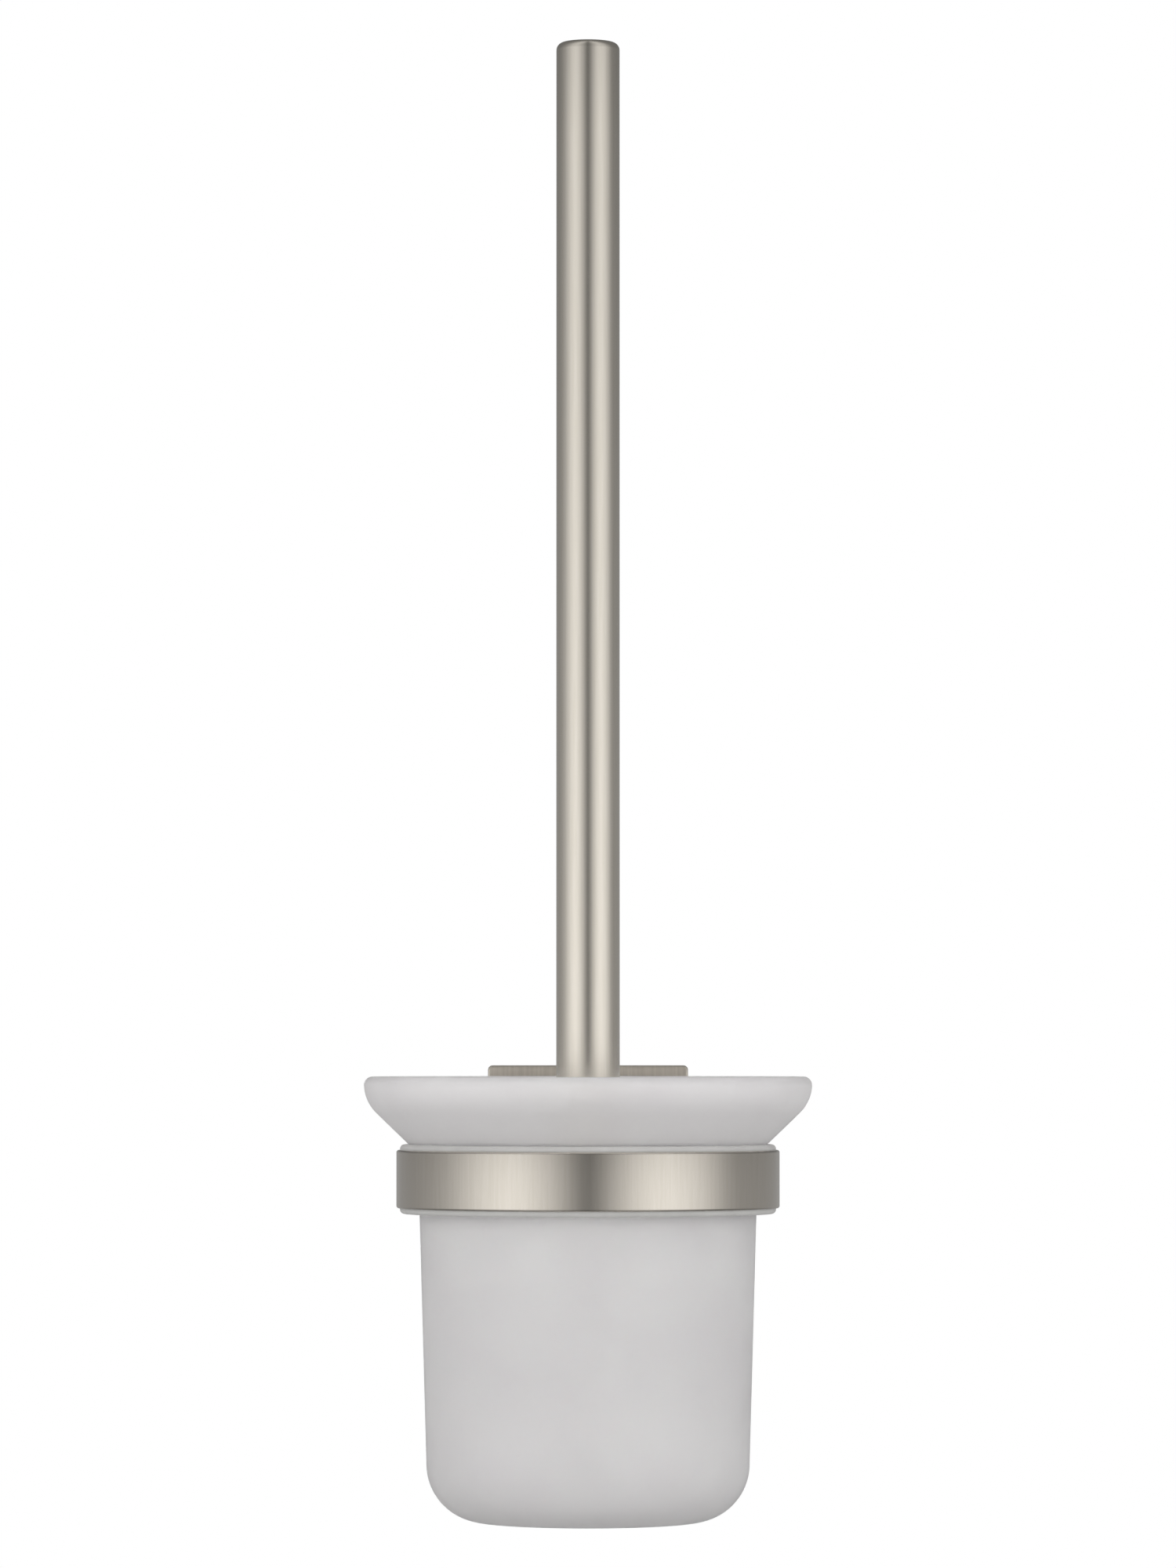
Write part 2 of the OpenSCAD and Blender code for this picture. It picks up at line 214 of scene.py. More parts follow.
def turned(name, outline, steps=160, reshape=None):
    """A closed body of revolution about the brush's axis, from (radius, height) points in mm.

    Where the outline starts and ends on the axis the body is solid, else it is a ring.
    reshape(radius, height, angle) may give a new radius, for flutes and the like.
    """
    bm = bmesh.new()
    rings = []
    for radius, height in outline:
        if radius == 0:
            rings.append([bm.verts.new((AXIS.x, AXIS.y, height * MM))])
            continue
        ring = []
        for i in range(steps):
            angle = 2 * math.pi * i / steps
            r = reshape(radius, height, angle) if reshape else radius
            ring.append(bm.verts.new((AXIS.x + r * math.cos(angle) * MM,
                                      AXIS.y + r * math.sin(angle) * MM, height * MM)))
        rings.append(ring)
    pairs = list(zip(rings, rings[1:]))
    if len(rings[0]) > 1 and len(rings[-1]) > 1:
        pairs.append((rings[-1], rings[0]))
    for lower, upper in pairs:
        for i in range(steps):
            j = (i + 1) % steps
            corners = [lower[i % len(lower)], lower[j % len(lower)],
                       upper[j % len(upper)], upper[i % len(upper)]]
            corners = list(dict.fromkeys(corners))
            if len(corners) > 2:
                bm.faces.new(corners)
    bmesh.ops.recalc_face_normals(bm, faces=bm.faces)
    mesh = bpy.data.meshes.new(name)
    bm.to_mesh(mesh)
    bm.free()
    soften(mesh)
    return piece_from(name, mesh)


def cut(piece, cutter):
    """Subtracts one closed mesh from another and throws the cutter away."""
    change = piece.modifiers.new("cut", "BOOLEAN")
    change.operation = "DIFFERENCE"
    change.object = cutter
    change.solver = "EXACT"
    apply_modifiers(piece)
    bpy.data.objects.remove(cutter)


def apply_modifiers(piece):
    """Turns what the modifiers give into a plain mesh and removes them."""
    graph = bpy.context.evaluated_depsgraph_get()
    graph.update()
    mesh = bpy.data.meshes.new_from_object(piece.evaluated_get(graph))
    piece.modifiers.clear()
    piece.data = mesh
    soften(mesh)


def new_geometry_tree(name, sockets):
    """An empty geometry node tree with its inputs, given as (name, kind), and one output."""
    tree = bpy.data.node_groups.new(name, "GeometryNodeTree")
    tree.interface.new_socket("Geometry", in_out="OUTPUT", socket_type="NodeSocketGeometry")
    for socket, kind in sockets:
        tree.interface.new_socket(socket, in_out="INPUT", socket_type="NodeSocket" + kind)
    return tree, add(tree, "NodeGroupInput").outputs


def run_nodes(piece, tree, inputs):
    """Runs a geometry node tree on a piece, with inputs by name, and keeps the plain mesh."""
    change = piece.modifiers.new("nodes", "NODES")
    change.node_group = tree
    for item in tree.interface.items_tree:
        if item.in_out == "INPUT" and item.name in inputs:
            change[item.identifier] = inputs[item.name]
    apply_modifiers(piece)


def finish_piece(piece, body, node_names, material):
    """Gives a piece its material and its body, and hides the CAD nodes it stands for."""
    piece.data.materials.clear()
    piece.data.materials.append(material)
    for polygon in piece.data.polygons:
        polygon.material_index = 0
    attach(piece, body)
    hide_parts(*node_names)


def repaint(node_name, material):
    """Gives a CAD node that stays in view its material."""
    for slot in nodes[node_name].material_slots:
        slot.material = material


# ------------------------------------------------------------------ materials

def new_material(name):
    """An empty material with its Principled shader."""
    material = bpy.data.materials.new(name)
    material.use_nodes = True
    tree = material.node_tree
    tree.nodes.clear()
    shader = add(tree, "ShaderNodeBsdfPrincipled")
    add(tree, "ShaderNodeOutputMaterial", inputs={"Surface": shader})
    return material, tree, shader


def set_shader(shader, **values):
    """Sets the shader's own sockets: roughness=0.4, specular_ior_level=0.5 and so on."""
    names = {socket.name.lower().replace(" ", "_"): socket for socket in shader.inputs}
    for name, value in values.items():
        names[name].default_value = value


def place_in_mm(tree, stretch=(1, 1, 1), centre=(0, 0, 0)):
    """Object coordinates in millimetres about a point in metres, each axis times its stretch.

    A noise that reads them has its Scale in features per millimetre.
    """
    place = add(tree, "ShaderNodeTexCoord").outputs["Object"]
    shifted = add(tree, VECTOR_MATHS, {"operation": "SUBTRACT"}, {0: place, 1: centre})
    scale = [value / MM for value in stretch]
    return add(tree, VECTOR_MATHS, {"operation": "MULTIPLY"}, {0: shifted, 1: scale})


def dress(tree, shader, tint, colours, tooth=None, roughness=None, relief=None, relief_mm=0.0):
    """Ties the patterns of a finish to its shader.

    The colour goes from the first hex value to the second with the tint, and the roughness
    between two values with the tooth. The relief is a bump of a real height.
    """
    middle = {"From Min": 0.3, "From Max": 0.7}
    share = add(tree, "ShaderNodeMapRange", inputs={"Value": tint, **middle})
    mixed = add(tree, "ShaderNodeMix", {"data_type": "RGBA"}, {
        "Factor": share, "A": linear(colours[0]), "B": linear(colours[1])})
    tree.links.new(mixed.outputs["Result"], shader.inputs["Base Color"])
    if tooth:
        dull = add(tree, "ShaderNodeMapRange", inputs={
            "Value": tooth, "To Min": roughness[0], "To Max": roughness[1], **middle})
        tree.links.new(dull.outputs[0], shader.inputs["Roughness"])
    if relief:
        raised = add(tree, "ShaderNodeBump", inputs={
            "Height": relief, "Distance": relief_mm * MM, "Strength": 1.0})
        tree.links.new(raised.outputs[0], shader.inputs["Normal"])


def satin_nickel(name, centre, stretch, grain=(0.22, 0.25), light="#d3cdc3", dark="#cfc9be",
                 turn=None, draw=0.25):
    """Brushed nickel plating on brass: warm grey metal with fine parallel belt marks.

    stretch gives the marks their direction: a small number along an axis makes them long
    there. turn names the axis of a round bar, and draw is which way its highlights are drawn
    out: 0 round the axis, 0.25 along it.
    """
    material, tree, shader = new_material(name)
    set_shader(shader, metallic=1.0)
    place = place_in_mm(tree, stretch, centre)
    # belt marks are about 0.05 mm apart; drawn 0.15 mm apart, as coarse as shows at all
    marks = add(tree, NOISE, inputs={
        "Vector": place, "Scale": 7.0, "Detail": 2.0, "Roughness": 0.6})
    # where the belt pressed harder, in bands under 1 mm wide
    bands = add(tree, NOISE, inputs={
        "Vector": place, "Scale": 1.3, "Detail": 3.0, "Roughness": 0.55})
    dress(tree, shader, bands, (dark, light), marks, grain, marks, 0.0015)
    if turn:
        tangent = add(tree, "ShaderNodeTangent", {"direction_type": "RADIAL", "axis": turn})
        tree.links.new(tangent.outputs[0], shader.inputs["Tangent"])
        set_shader(shader, anisotropic=0.6, anisotropic_rotation=draw)
    return material


def acid_etched_glass():
    """Acid-etched soda-lime glass: milky, because both faces scatter, and nearly colourless.

    The etch gives a fine even tooth with slightly clearer and denser patches.
    """
    material, tree, shader = new_material("acid_etched_glass")
    set_shader(shader, ior=1.5, transmission_weight=0.55)
    place = place_in_mm(tree)
    # patches about 17 mm across
    patches = add(tree, NOISE, inputs={
        "Vector": place, "Scale": 0.06, "Detail": 4.0, "Roughness": 0.55})
    # the etch's pits are under 0.05 mm; drawn 0.25 mm across, as coarse as shows at all
    tooth = add(tree, NOISE, inputs={"Vector": place, "Scale": 4.0, "Detail": 2.0})
    dress(tree, shader, patches, ("#f4f2f3", "#fbfafa"), tooth, (0.36, 0.44), tooth, 0.004)
    return material


def sleeve_polyethylene():
    """Natural low-density polyethylene, moulded: translucent off-white and slightly waxy."""
    material, tree, shader = new_material("sleeve_polyethylene")
    set_shader(shader, ior=1.5, subsurface_weight=0.25, subsurface_scale=0.002,
               subsurface_radius=(1.0, 1.0, 1.0))
    place = place_in_mm(tree)
    # cloudy flow marks about 7 mm long, on a mould finish of 0.3 mm
    cloud = add(tree, NOISE, inputs={"Vector": place, "Scale": 0.15, "Detail": 3.0})
    tooth = add(tree, NOISE, inputs={"Vector": place, "Scale": 3.0, "Detail": 2.0})
    dress(tree, shader, cloud, ("#bfbebc", "#c8c7c5"), tooth, (0.38, 0.5), tooth, 0.006)
    return material


def hub_polypropylene():
    """White polypropylene, injection moulded: a fine matt spark-eroded texture."""
    material, tree, shader = new_material("hub_polypropylene")
    set_shader(shader, ior=1.49, subsurface_weight=0.1, subsurface_scale=0.0015)
    place = place_in_mm(tree)
    # flow marks about 10 mm long, on a spark-eroded finish of 0.2 mm
    flow = add(tree, NOISE, inputs={"Vector": place, "Scale": 0.1, "Detail": 3.0})
    spark = add(tree, NOISE, inputs={"Vector": place, "Scale": 5.0, "Detail": 3.0})
    dress(tree, shader, flow, ("#ecece8", "#f5f5f2"), spark, (0.4, 0.55), spark, 0.01)
    return material


def nylon_filament():
    """White nylon monofilament: glossy and translucent, with a little variety of shade."""
    material, tree, shader = new_material("nylon_filament")
    set_shader(shader, ior=1.53, subsurface_weight=0.15, subsurface_scale=0.001)
    # the shade changes every 1.4 mm, which is a few filaments
    shade = add(tree, NOISE, inputs={
        "Vector": place_in_mm(tree), "Scale": 0.7, "Detail": 2.0})
    dress(tree, shader, shade, ("#eeeeec", "#fbfbfa"), shade, (0.3, 0.45))
    return material


def turned_metal(name, centre, light, dark, axis="Z"):
    """Bar metal turned on a lathe: fine grooves round the axis, one for each feed step."""
    stretch = {"Z": (0.02, 0.02, 1), "Y": (0.02, 1, 0.02)}[axis]
    material, tree, shader = new_material(name)
    set_shader(shader, metallic=1.0)
    # the tool feeds about 0.1 mm a turn; drawn 0.2 mm apart
    grooves = add(tree, NOISE, inputs={
        "Vector": place_in_mm(tree, stretch, centre), "Scale": 5.0, "Detail": 2.0})
    dress(tree, shader, grooves, (dark, light), grooves, (0.22, 0.34), grooves, 0.003)
    return material


def zinc_plated_sheet():
    """Cold-rolled steel sheet, stamped and zinc plated: pale blue-grey, cloudy and matt."""
    material, tree, shader = new_material("zinc_plated_sheet")
    set_shader(shader, metallic=1.0)
    # clouds of the plating about 8 mm across, over rolling lines 0.3 mm apart
    cloud = add(tree, NOISE, inputs={
        "Vector": place_in_mm(tree), "Scale": 0.12, "Detail": 4.0, "Roughness": 0.6})
    rolling = add(tree, NOISE, inputs={
        "Vector": place_in_mm(tree, (0.05, 1, 1)), "Scale": 3.0, "Detail": 3.0})
    dress(tree, shader, cloud, ("#a9adb2", "#c3c6c9"), rolling, (0.34, 0.5), rolling, 0.004)
    return material


def moulded_rubber():
    """Black EPDM rubber, moulded: matt, with a talc-like bloom."""
    material, tree, shader = new_material("moulded_rubber")
    set_shader(shader, specular_ior_level=0.3)
    place = place_in_mm(tree)
    # bloom in spots of about 1 mm, on a mould finish of 0.25 mm
    bloom = add(tree, NOISE, inputs={
        "Vector": place, "Scale": 0.8, "Detail": 4.0, "Roughness": 0.6})
    tooth = add(tree, NOISE, inputs={"Vector": place, "Scale": 4.0, "Detail": 3.0})
    dress(tree, shader, bloom, ("#1c1c1c", "#2f2f2e"), bloom, (0.7, 0.85), tooth, 0.01)
    return material


def floor_paint():
    """Studio floor paint: pale and matt, with faint clouds a quarter of a metre across."""
    material, tree, shader = new_material("floor_paint")
    set_shader(shader, roughness=0.8)
    shade = add(tree, NOISE, inputs={
        "Vector": place_in_mm(tree), "Scale": 0.004, "Detail": 3.0})
    dress(tree, shader, shade, ("#ebebea", "#efefee"))
    return material


# ------------------------------------------------------------------ glass cup

BODY_N = (math.cos(math.radians(CUP_TAPER)), -math.sin(math.radians(CUP_TAPER)))
BODY_LINE = CUP_R * math.cos(math.radians(CUP_TAPER))
SHOULDER_N = (math.sin(math.radians(SHOULDER_ANGLE)), -math.cos(math.radians(SHOULDER_ANGLE)))
# the flare's curve is centred RIM_DROP below the rim, and meets the rim's at RIM_START
RIM_START = math.asin((RIM_DROP - RIM_ROUND) / (FLARE_R - RIM_ROUND))
RIM_CENTRE = (RIM_R - RIM_ROUND, RIM_TOP - RIM_ROUND)
FLARE_CENTRE = (RIM_CENTRE[0] - (FLARE_R - RIM_ROUND) * math.cos(RIM_START),
                RIM_CENTRE[1] - (FLARE_R - RIM_ROUND) * math.sin(RIM_START))
SHOULDER_LINE = SHOULDER_N[0] * FLARE_CENTRE[0] + SHOULDER_N[1] * FLARE_CENTRE[1] + FLARE_R


def cup_outside():
    """Outer outline of the glass, from the middle of the bottom up to the top of the rim."""
    corner = crossing(BODY_N, BODY_LINE - CUP_CORNER_R, (0, 1), CUP_BOTTOM + CUP_CORNER_R)
    neck = crossing(BODY_N, BODY_LINE + NECK_R, SHOULDER_N, SHOULDER_LINE + NECK_R)
    return ([(0, CUP_BOTTOM), (corner[0] / 2, CUP_BOTTOM)]
            + arc(corner, CUP_CORNER_R, -90, -CUP_TAPER, 24)
            + arc(neck, NECK_R, 180 - CUP_TAPER, 90 + SHOULDER_ANGLE, 8)
            + arc(FLARE_CENTRE, FLARE_R, SHOULDER_ANGLE - 90, math.degrees(RIM_START), 20)
            + arc(RIM_CENTRE, RIM_ROUND, math.degrees(RIM_START), 90, 14)[1:])


def cup_inside():
    """Inner outline of the glass, from the top of the rim down to the middle of the floor."""
    in_r = FLARE_CENTRE[0] + FLARE_R - FLARE_WALL
    body_in = BODY_LINE - CUP_WALL
    neck = crossing(BODY_N, body_in + NECK_IN_R,
                    SHOULDER_N, SHOULDER_LINE - FLARE_WALL + NECK_IN_R)
    corner = crossing(BODY_N, body_in - CUP_IN_CORNER_R, (0, 1), CUP_FLOOR_Z + CUP_IN_CORNER_R)
    return (arc((in_r + RIM_ROUND_IN, RIM_TOP - RIM_ROUND_IN), RIM_ROUND_IN, 90, 180, 12)
            + arc(FLARE_CENTRE, FLARE_R - FLARE_WALL, 0, SHOULDER_ANGLE - 90, 16)
            + arc(neck, NECK_IN_R, 90 + SHOULDER_ANGLE, 180 - CUP_TAPER, 10)
            + arc(corner, CUP_IN_CORNER_R, -CUP_TAPER, -90, 20)
            + [(corner[0] / 2, CUP_FLOOR_Z), (0, CUP_FLOOR_Z)])


def make_cup():
    """The glass: a tapered body, the shoulder that it hangs by, and a flared rim."""
    cup = turned("frosted_cup", cup_outside() + cup_inside(), 192)
    finish_piece(cup, "cup", ["glass_cup"], acid_etched_glass())


# ------------------------------------------------------------------ ring and sleeve

def make_ring():
    """The ring: a flat band with small edge rounds, and the arm screw's hole at the back."""
    inner = RING_R - RING_WALL
    outline = ([(inner + RING_CHAMFER, -RING_HALF)]
               + arc((RING_R - RING_ROUND, -RING_HALF + RING_ROUND), RING_ROUND, -90, 0, 8)
               + arc((RING_R - RING_ROUND, RING_HALF - RING_ROUND), RING_ROUND, 0, 90, 8)
               + [(inner + RING_CHAMFER, RING_HALF), (inner, RING_HALF - RING_CHAMFER),
                  (inner, -RING_HALF + RING_CHAMFER)])
    ring = turned("satin_ring", outline, 240)
    cut(ring, screw_hole_cutter())
    finish_piece(ring, "holder", ["holder_ring"],
                 satin_nickel("satin_nickel_ring", AXIS, (1, 1, 0.04), turn="Z",
                              light="#c8c2b9", dark="#c4beb4"))


def screw_hole_cutter():
    """Countersunk hole in the back of the ring, for the screw that holds the arm."""
    back = -(AXIS.y / MM) - RING_R
    # the cutter starts outside the ring and ends in its bore
    start = back - 1
    end = back + RING_WALL + 0.5
    cone = [(0, start), (SCREW_CLEAR_R, start), (SCREW_CLEAR_R, back + SCREW_LAND),
            (SCREW_HEAD_R, end), (0, end)]
    cutter = turned("screw_hole", cone, 48)
    cutter.data.transform(Matrix.Translation(-AXIS))
    cutter.data.transform(Matrix.Rotation(math.radians(90), 4, "X"))
    return cutter


def make_sleeve():
    """The liner: a lip above and below the ring, and a sloped seat for the glass."""
    line = SHOULDER_LINE + SHOULDER_GAP
    corner_z = (line - SHOULDER_N[0] * SLEEVE_IN_R) / SHOULDER_N[1]
    foot = (SLEEVE_IN_R + SLEEVE_FOOT_ROUND, LIP_BOTTOM + SLEEVE_FOOT_ROUND)

    def shoulder_r(z):
        return (line - SHOULDER_N[1] * z) / SHOULDER_N[0]

    outline = ([(shoulder_r(corner_z + SLEEVE_BREAK), corner_z + SLEEVE_BREAK),
                (SLEEVE_IN_R, corner_z - SLEEVE_BREAK)]
               + arc(foot, SLEEVE_FOOT_ROUND, 180, 270, 6)
               + arc((LIP_R - LIP_ROUND, LIP_BOTTOM + LIP_ROUND), LIP_ROUND, -90, 0, 10)
               + [(LIP_R, -RING_HALF), (SLEEVE_OUT_R, -RING_HALF),
                  (SLEEVE_OUT_R, RING_HALF), (LIP_R, RING_HALF)]
               + arc((LIP_R - LIP_ROUND, LIP_TOP - LIP_ROUND), LIP_ROUND, 0, 90, 10)
               + [(shoulder_r(LIP_TOP), LIP_TOP)])
    sleeve = turned("ring_liner", outline, 192)
    finish_piece(sleeve, "holder", ["ring_sleeve"], sleeve_polyethylene())


# ------------------------------------------------------------------ handle

def make_handle():
    """The long tube: closed and rounded at the top, open below for its bush."""
    inner = TUBE_R - TUBE_WALL
    roof = TUBE_TOP - TUBE_WALL
    inside_top = (inner - TUBE_TOP_ROUND_IN, roof - TUBE_TOP_ROUND_IN)
    foot = (TUBE_R - TUBE_EDGE_ROUND, TUBE_LOW + TUBE_EDGE_ROUND)
    shoulder = (TUBE_R - TUBE_TOP_ROUND, TUBE_TOP - TUBE_TOP_ROUND)
    outline = ([(0, roof)]
               + arc(inside_top, TUBE_TOP_ROUND_IN, 90, 0, 8)
               + [(inner, TUBE_LOW + TUBE_BORE_CHAMFER), (inner + TUBE_BORE_CHAMFER, TUBE_LOW),
                  (TUBE_R - TUBE_EDGE_ROUND, TUBE_LOW)]
               + arc(foot, TUBE_EDGE_ROUND, -90, 0, 4)[1:]
               + [(TUBE_R, TUBE_TOP * k / 12) for k in range(1, 12)]
               + arc(shoulder, TUBE_TOP_ROUND, 0, 90, 12)
               + [(TUBE_R / 3, TUBE_TOP), (0, TUBE_TOP)])
    tube = turned("satin_handle_tube", outline, 128)
    finish_piece(tube, "handle", ["handle_tube"],
                 satin_nickel("satin_nickel_tube", AXIS, (1, 1, 0.04), turn="Z"))


def thread_tree():
    """Geometry nodes: a bar along Z from Low to High with a helical thread cut in it."""
    tree, given = new_geometry_tree("thread", (
        ("Radius", "Float"), ("Pitch", "Float"), ("Depth", "Float"), ("Low", "Float"),
        ("High", "Float"), ("Chamfer", "Float"), ("Rings", "Int"), ("Material", "Material")))
    radius, low, high = given["Radius"], given["Low"], given["High"]

    # a plain bar, raised to its place
    length = add(tree, MATHS, {"operation": "SUBTRACT"}, {0: high, 1: low})
    both = add(tree, MATHS, {"operation": "ADD"}, {0: high, 1: low})
    middle = add(tree, MATHS, {"operation": "MULTIPLY"}, {0: both, 1: 0.5})
    bar = add(tree, "GeometryNodeMeshCylinder", {"fill_type": "TRIANGLE_FAN"}, {
        "Vertices": 48, "Side Segments": given["Rings"], "Radius": radius, "Depth": length})
    lift = add(tree, "ShaderNodeCombineXYZ", inputs={"Z": middle})
    raised = add(tree, "GeometryNodeSetPosition", inputs={"Geometry": bar, "Offset": lift})
    place = add(tree, "ShaderNodeSeparateXYZ", inputs={
        0: add(tree, "GeometryNodeInputPosition")}).outputs
    x, y, z = place["X"], place["Y"], place["Z"]

    # the groove goes down and up once a pitch, and winds once a pitch round the bar
    angle = add(tree, MATHS, {"operation": "ARCTAN2"}, {0: y, 1: x})
    turns = add(tree, MATHS, {"operation": "DIVIDE"}, {0: angle, 1: 2 * math.pi})
    pitches = add(tree, MATHS, {"operation": "DIVIDE"}, {0: z, 1: given["Pitch"]})
    phase = add(tree, MATHS, {"operation": "SUBTRACT"}, {0: pitches, 1: turns})
    fold = add(tree, MATHS, {"operation": "PINGPONG"}, {0: phase, 1: 0.5})
    groove = add(tree, MATHS, {"operation": "MULTIPLY"}, {0: fold, 1: 2.0})
    cut_in = add(tree, MATHS, {"operation": "MULTIPLY"}, {0: groove, 1: given["Depth"]})
    cut_r = add(tree, MATHS, {"operation": "SUBTRACT"}, {0: radius, 1: cut_in})

    # a chamfer at each end
    from_low = add(tree, MATHS, {"operation": "SUBTRACT"}, {0: z, 1: low})
    from_high = add(tree, MATHS, {"operation": "SUBTRACT"}, {0: high, 1: z})
    to_end = add(tree, MATHS, {"operation": "MINIMUM"}, {0: from_low, 1: from_high})
    least_r = add(tree, MATHS, {"operation": "SUBTRACT"}, {0: radius, 1: given["Chamfer"]})
    end_r = add(tree, MATHS, {"operation": "ADD"}, {0: least_r, 1: to_end})
    new_r = add(tree, MATHS, {"operation": "MINIMUM"}, {0: cut_r, 1: end_r})
    ratio = add(tree, MATHS, {"operation": "DIVIDE"}, {0: new_r, 1: radius})

    # only the bar's side moves, not the middles of its ends
    x_squared = add(tree, MATHS, {"operation": "MULTIPLY"}, {0: x, 1: x})
    y_squared = add(tree, MATHS, {"operation": "MULTIPLY"}, {0: y, 1: y})
    squares = add(tree, MATHS, {"operation": "ADD"}, {0: x_squared, 1: y_squared})
    old_r = add(tree, MATHS, {"operation": "POWER"}, {0: squares, 1: 0.5})
    half_r = add(tree, MATHS, {"operation": "MULTIPLY"}, {0: radius, 1: 0.5})
    on_side = add(tree, MATHS, {"operation": "GREATER_THAN"}, {0: old_r, 1: half_r})
    new_x = add(tree, MATHS, {"operation": "MULTIPLY"}, {0: x, 1: ratio})
    new_y = add(tree, MATHS, {"operation": "MULTIPLY"}, {0: y, 1: ratio})
    squeezed = add(tree, "ShaderNodeCombineXYZ", inputs={"X": new_x, "Y": new_y, "Z": z})
    shaped = add(tree, "GeometryNodeSetPosition", inputs={
        "Geometry": raised, "Selection": on_side, "Position": squeezed})
    real = add(tree, "GeometryNodeRealizeInstances", inputs={0: shaped})
    painted = add(tree, "GeometryNodeSetMaterial", inputs={
        "Geometry": real, "Material": given["Material"]})
    add(tree, "NodeGroupOutput", inputs={0: painted})
    return tree


def make_stud():
    """The stud that joins the handle to the brush head, with a real M10 thread."""
    steel = turned_metal("rolled_thread_steel", AXIS, "#b4b3ae", "#9c9b96")
    stud = piece_from("m10_stud", bpy.data.meshes.new("m10_stud"))
    run_nodes(stud, thread_tree(), {
        "Radius": STUD_R * MM, "Pitch": STUD_PITCH * MM, "Depth": THREAD_DEPTH * MM,
        "Low": STUD_LOW * MM, "High": STUD_TOP * MM, "Chamfer": THREAD_CHAMFER * MM,
        "Rings": int((STUD_TOP - STUD_LOW) / STUD_PITCH * THREAD_STEPS),
        "Material": steel})
    stud.data.transform(Matrix.Translation(AXIS))
    finish_piece(stud, "handle", ["threaded_stud"], steel)


# ------------------------------------------------------------------ brush head

def fluted(radius, height, angle):
    """The collar's radius, with fine upright flutes cut in its side for grip."""
    on_side = (radius > COLLAR_R - FLUTE_REACH
               and COLLAR_END + COLLAR_ROUND < height < HUB_TOP - COLLAR_ROUND)
    return radius - FLUTE_DEPTH * (on_side and math.cos(FLUTES * angle / 2) ** 8)


def make_hub():
    """The brush's core: a round-ended body, a fluted collar and the stud's socket."""
    neck = (HUB_R - HUB_NECK_ROUND, COLLAR_END - HUB_NECK_DROP)
    outline = ([(0, HUB_END), (HUB_R - HUB_ROUND - HUB_FLAT, HUB_END)]
               + arc((HUB_R - HUB_ROUND, HUB_END + HUB_ROUND), HUB_ROUND, -90, 0, 12)
               + [(HUB_R, z) for z in range(-50, -10, 10)]
               + arc(neck, HUB_NECK_ROUND, 0, 60, 5)
               + [(COLLAR_R + 0.1, COLLAR_END - 0.4), (COLLAR_R, COLLAR_END)]
               + [(COLLAR_R, COLLAR_END + 1 + 0.75 * k) for k in range(8)]
               + [(COLLAR_R, HUB_TOP - 1)]
               + arc((COLLAR_R - COLLAR_ROUND, HUB_TOP - COLLAR_ROUND), COLLAR_ROUND, 10, 90, 8)
               + [(SOCKET_R + SOCKET_CHAMFER, HUB_TOP), (SOCKET_R, HUB_TOP - SOCKET_CHAMFER),
                  (SOCKET_R, HUB_TOP - SOCKET_DEPTH),
                  (0, HUB_TOP - SOCKET_DEPTH - SOCKET_R * DRILL_POINT)])
    hub = turned("brush_core", outline, 200, fluted)
    finish_piece(hub, "brush_head", ["brush_hub"], hub_polypropylene())


